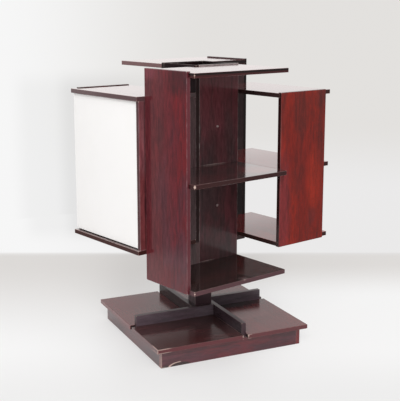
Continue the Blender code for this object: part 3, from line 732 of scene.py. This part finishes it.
def boltTree(finish):
    tree = bpy.data.node_groups.new("domedBolts", "GeometryNodeTree")
    sizes = (("Head Radius", "radius"), ("Head Height", "height"), ("Slot Width", "slotWide"),
             ("Slot Depth", "slotDeep"))
    tree.interface.new_socket("Points", in_out="INPUT", socket_type="NodeSocketGeometry")
    keys = {}
    for label, key in sizes:
        socket = tree.interface.new_socket(label, in_out="INPUT", socket_type="NodeSocketFloat")
        socket.default_value = boltHead[key]
        keys[socket.identifier] = boltHead[key]
    tree.interface.new_socket("Bolts", in_out="OUTPUT", socket_type="NodeSocketGeometry")
    maker = Maker(tree)
    given = maker.node("NodeGroupInput")
    radius, height, slotWide, slotDeep = (given[label] for label, key in sizes)

    # A ball flattened below its middle is the dome, and a bar taken out of it leaves the slot.
    # The bar is longer than the head is wide, and half of its depth stands above the dome
    ball = maker.node("GeometryNodeMeshUVSphere", None,
                      {"Segments": boltHead["sides"], "Rings": boltHead["rings"], "Radius": 1.0})[0]
    x, y, z = maker.split(maker.node("GeometryNodeInputPosition")[0])
    domed = maker.join(x * radius, y * radius, z.most(0.0) * height)
    dome = maker.node("GeometryNodeSetPosition", None, {"Geometry": ball, "Position": domed})[0]
    welded = maker.node("GeometryNodeMergeByDistance", None,
                        {"Geometry": dome, "Distance": boltHead["weld"]})[0]
    barSize = maker.join(radius * 3.0, slotWide, slotDeep * 2.0)
    bar = maker.node("GeometryNodeMeshCube", None, {"Size": barSize})[0]
    bar = maker.node("GeometryNodeTransform", None,
                     {"Geometry": bar, "Translation": maker.join(0.0, 0.0, height)})[0]
    head = maker.node("GeometryNodeMeshBoolean", {"operation": "DIFFERENCE"}, {0: welded, 1: bar})[0]

    # Each head stands out of the core's face, away from the turning axis
    outward = maker.vector("MULTIPLY", maker.node("GeometryNodeInputPosition")[0], (0.0, 1.0, 0.0))[0]
    turn = maker.node("FunctionNodeAlignRotationToVector", {"axis": "Z"}, {"Vector": outward})[0]
    placed = maker.node("GeometryNodeInstanceOnPoints", None,
                        {"Points": given["Points"], "Instance": head, "Rotation": turn})[0]
    solid = maker.node("GeometryNodeRealizeInstances", None, {"Geometry": placed})[0]
    coloured = maker.node("GeometryNodeSetMaterial", None, {"Geometry": solid, "Material": finish})[0]
    maker.node("NodeGroupOutput", None, {"Bolts": coloured})
    return tree, keys


def makeBolts():
    places = []
    for name in boltNodes:
        low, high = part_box(name)
        middle = (low + high) / 2
        seat = low.y + boltHead["height"] if "front" in name else high.y - boltHead["height"]
        places.append((middle.x, seat, middle.z))
    mesh = bpy.data.meshes.new("boltPlaces")
    mesh.from_pydata(places, [], [])
    holder = bpy.data.objects.new("boltPlaces", mesh)
    bpy.context.scene.collection.objects.link(holder)
    tree, keys = boltTree(metal("nickel"))
    modifier = holder.modifiers.new("bolts", "NODES")
    modifier.node_group = tree
    for identifier, value in keys.items():
        modifier[identifier] = value
    drawn = holder.evaluated_get(bpy.context.evaluated_depsgraph_get())
    bolts = bpy.data.objects.new("coreBoltHeads", bpy.data.meshes.new_from_object(drawn))
    bolts.data.shade_smooth()
    bolts.data.set_sharp_from_angle(angle=math.radians(boltHead["crease"]))
    bpy.data.objects.remove(holder, do_unlink=True)
    bpy.context.scene.collection.objects.link(bolts)
    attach(bolts, "tower")
    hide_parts(*boltNodes)
    print("bolts:", len(bolts.data.polygons), "faces")


makeBolts()

# Light: an even pale surround, and a wide soft lamp above and beside the camera.
# Glossy rays see a studio: pale behind and above the object, dimmer in front and past the floor's rim
lightLook = {
    "surround": 0.72,
    "keyPlace": (-2.7, -2.9, 3.2), "keyAim": (0.0, 0.0, 0.6), "keySize": 2.6, "keyPower": 114.0,
    "studioLow": 0.38, "studioFront": 0.55, "studioBack": 0.96, "studioTint": (1.0, 0.955, 0.945),
    "studioTurn": (-0.5, 0.3),      # from in front of the object to behind it
    "studioHorizon": (-0.10, 0.02),
}

# Stage: a pale round floor that goes over into a pale wall behind the object. Pairs say where something
# begins and is full: along the camera's view (away), to its right as a share of the distance (aside),
# out from the turning axis (far), or by the height of a direction (high)
stageLook = {
    "radius": 2.5, "sides": 96, "rough": 0.9, "shine": 0.1,
    "cameraAway": 3.9,                              # from the camera to the axis, metres
    "floor": (0.93, 0.925, 0.92), "floorFar": (0.745, 0.722, 0.704), "floorNear": (0.85, 0.845, 0.84),
    "glow": (0.955, 0.953, 0.952), "glowFar": (0.768, 0.746, 0.728), "glowNear": (0.870, 0.868, 0.866),
    "nearAway": (-0.18, -0.75),
    "shadeLeft": -0.28, "shadeRight": 0.45,         # where the floor starts to darken towards the wall
    "shadeEnd": 1.10, "shadeAside": (0.0, -0.12),
    "lift": 0.42, "liftLeft": 0.22, "liftRight": 0.30,  # share of glow that softens the shadows
    "liftLeftAside": (-0.07, -0.14), "liftRightAside": (0.02, 0.12),
    "wallAway": (1.21, 1.33), "rimFar": (1.65, 2.40), "mirrorFar": (1.72, 1.87),
    "wallLeft": (0.925, 0.925, 0.925), "wallRight": (0.766, 0.750, 0.730),
    "lowLeft": (0.925, 0.925, 0.925), "lowRight": (0.825, 0.818, 0.818),
    "rightAside": (-0.22, 0.02), "lowHigh": (-0.12, -0.20), "aheadAway": (0.6, 0.9),
    "leastAway": 0.05,                              # keeps the share finite straight to the side
    "cast": 0.058, "castAside": (-0.207, -0.183),   # soft shade on the wall beside the closed bay
    "castNear": 0.085, "castNearAside": (-0.159, -0.138), "castEndAside": (-0.02, -0.10),
    "castAway": (1.46, 1.97), "castHigh": (-0.061, -0.092),
}


def viewPlace(x, y):  # how far along the camera's view, and how far to its right
    yaw = math.radians(cameraView["yaw"])
    return x * math.sin(yaw) + y * math.cos(yaw), x * math.cos(yaw) - y * math.sin(yaw)


def castShade(aside):
    shade = aside.rise(*stageLook["castAside"]) * stageLook["cast"]
    shade = shade + aside.rise(*stageLook["castNearAside"]) * stageLook["castNear"]
    return shade * aside.rise(*stageLook["castEndAside"])


def floorColour(maker, nearWall, nearFront, key):
    colour = maker.blend(nearWall, stageLook[key], stageLook[key + "Far"])
    return maker.blend(nearFront, colour, stageLook[key + "Near"])


def floorFinish():
    material, maker = startFinish("paleFloor")
    x, y, z = maker.split(maker.node("ShaderNodeTexCoord")["Object"])
    away, right = viewPlace(x, y)
    aside = right / (away + stageLook["cameraAway"])
    far = (x * x + y * y).power(0.5)
    wall = away.rise(*stageLook["wallAway"]).most(far.rise(*stageLook["rimFar"]))
    shadeReach = stageLook["shadeLeft"] - stageLook["shadeRight"]
    shadeBegin = stageLook["shadeRight"] + aside.rise(*stageLook["shadeAside"]) * shadeReach
    nearWall, nearFront = away.rise(shadeBegin, stageLook["shadeEnd"]), away.rise(*stageLook["nearAway"])
    ground = floorColour(maker, nearWall, nearFront, "floor")
    glowing = floorColour(maker, nearWall, nearFront, "glow")

    # The camera sees some glow over the matt floor, and the wall's own colour past the wall line
    backdrop = maker.blend(aside.rise(*stageLook["rightAside"]), stageLook["lowLeft"], stageLook["lowRight"])
    backdrop = maker.tint(backdrop, 1.0 - castShade(aside) * away.rise(*stageLook["castAway"]))
    backdrop = maker.blend(wall, glowing, backdrop)
    path = maker.node("ShaderNodeLightPath")
    seen, mirrored = path["Is Camera Ray"], path["Is Glossy Ray"]
    studioLow = tuple(part * lightLook["studioLow"] for part in lightLook["studioTint"])
    backdrop = maker.blend(mirrored, backdrop, studioLow)
    lift = aside.rise(*stageLook["liftLeftAside"]) * stageLook["liftLeft"]
    lift = lift + aside.rise(*stageLook["liftRightAside"]) * stageLook["liftRight"] + stageLook["lift"]
    beyond = far.rise(*stageLook["mirrorFar"]) * mirrored
    matt = maker.node("ShaderNodeBsdfPrincipled", None,
                      {"Base Color": ground, "Roughness": stageLook["rough"],
                       "Specular IOR Level": stageLook["shine"]})[0]
    glow = maker.node("ShaderNodeEmission", None, {"Color": backdrop, "Strength": 1.0})[0]
    share = (wall.most(lift) * seen).most(beyond)
    mixed = maker.node("ShaderNodeMixShader", None, {0: share, 1: matt, 2: glow})[0]
    maker.node("ShaderNodeOutputMaterial", None, {"Surface": mixed})
    return material


def makeFloor():
    radius, count = stageLook["radius"], stageLook["sides"]
    turns = [math.tau * step / count for step in range(count)]
    points = [(radius * math.cos(turn), radius * math.sin(turn), 0) for turn in turns]
    mesh = bpy.data.meshes.new("floor")
    mesh.from_pydata(points, [], [tuple(range(count))])
    mesh.materials.append(floorFinish())
    floor = bpy.data.objects.new("floor", mesh)
    bpy.context.scene.collection.objects.link(floor)


def makeSurround():
    world = bpy.data.worlds.new("paleSurround")
    bpy.context.scene.world = world
    world.use_nodes = True
    world.node_tree.nodes.clear()
    maker = Maker(world.node_tree)
    path = maker.node("ShaderNodeLightPath")
    x, y, z = maker.split(maker.node("ShaderNodeTexCoord")["Generated"])
    away, right = viewPlace(x, y)
    aside = right / (abs(away) + stageLook["leastAway"])
    ahead = away.rise(*stageLook["aheadAway"])
    rightward = aside.rise(*stageLook["rightAside"]) * ahead
    shell = maker.blend(rightward, stageLook["wallLeft"], stageLook["wallRight"])
    low = maker.blend(rightward, stageLook["lowLeft"], stageLook["lowRight"])
    shell = maker.blend(z.rise(*stageLook["lowHigh"]), shell, low)
    shell = maker.tint(shell, 1.0 - castShade(aside) * z.rise(*stageLook["castHigh"]) * ahead)
    behind = away.rise(*lightLook["studioTurn"])
    high = lightLook["studioFront"] + behind * (lightLook["studioBack"] - lightLook["studioFront"])
    studio = lightLook["studioLow"] + z.rise(*lightLook["studioHorizon"]) * (high - lightLook["studioLow"])
    studio = maker.tint(lightLook["studioTint"], studio)

    def background(colour, strength=1.0):
        return maker.node("ShaderNodeBackground", None, {"Color": colour, "Strength": strength})[0]

    light = background((1.0, 1.0, 1.0), lightLook["surround"])
    lit = maker.node("ShaderNodeMixShader", None,
                     {0: path["Is Glossy Ray"], 1: light, 2: background(studio)})[0]
    seen = path["Is Camera Ray"].most(path["Is Transmission Ray"])
    mixed = maker.node("ShaderNodeMixShader", None, {0: seen, 1: lit, 2: background(shell)})[0]
    maker.node("ShaderNodeOutputWorld", None, {"Surface": mixed})


def makeLamp():
    data = bpy.data.lights.new("key", "AREA")
    data.shape = "DISK"
    data.size = lightLook["keySize"]
    data.energy = lightLook["keyPower"]
    lamp = bpy.data.objects.new("key", data)
    lamp.location = lightLook["keyPlace"]
    lamp.rotation_euler = (Vector(lightLook["keyAim"]) - lamp.location).to_track_quat("-Z", "Y").to_euler()
    bpy.context.scene.collection.objects.link(lamp)


makeFloor()
makeSurround()
makeLamp()
bpy.context.scene.view_settings.view_transform = "Standard"
print("stage and light set")
